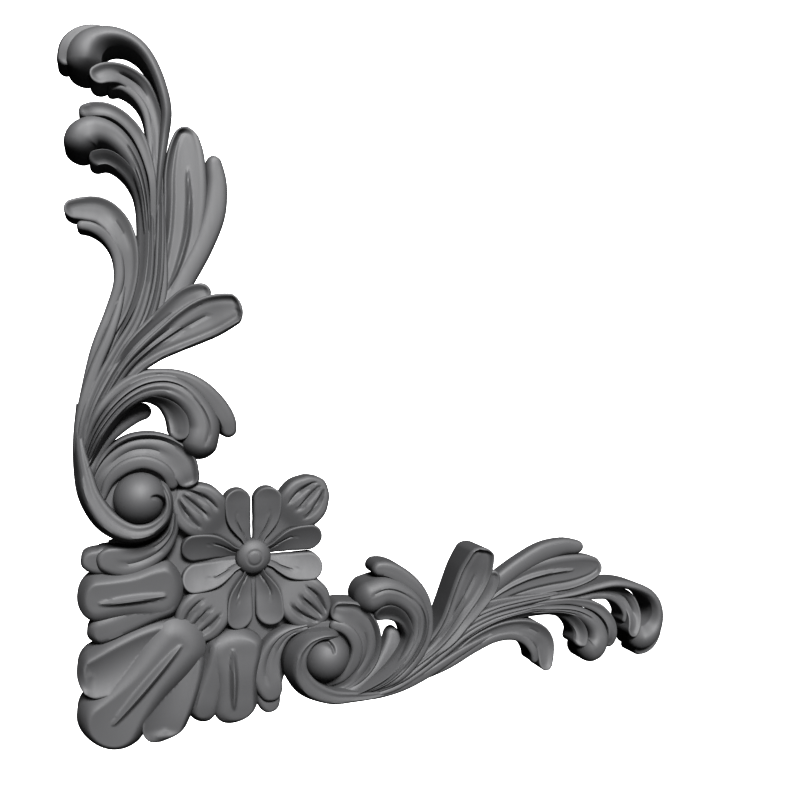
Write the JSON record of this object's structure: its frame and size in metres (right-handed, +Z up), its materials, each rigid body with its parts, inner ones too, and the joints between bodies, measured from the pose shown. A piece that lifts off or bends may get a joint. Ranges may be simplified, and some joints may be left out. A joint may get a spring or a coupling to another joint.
{
  "type": "carved wood corner applique",
  "caption": "Carved wood corner applique with a flower, corner leaves, two rolled volutes and two arms of curling acanthus leaves at a right angle.",
  "frame": {"origin": "on the flat back face, behind the middle of the flower", "axes": "+Z up along one arm, +X along the other arm, -Y out of the carved front, +Y into the wall"},
  "size_m": [0.2959, 0.022, 0.2959],
  "materials": {
    "carved_wood": "satin dark grey paint over carved wood"
  },
  "bodies": {
    "root": {"corner_applique": "carved_wood"}
  },
  "joints": []
}
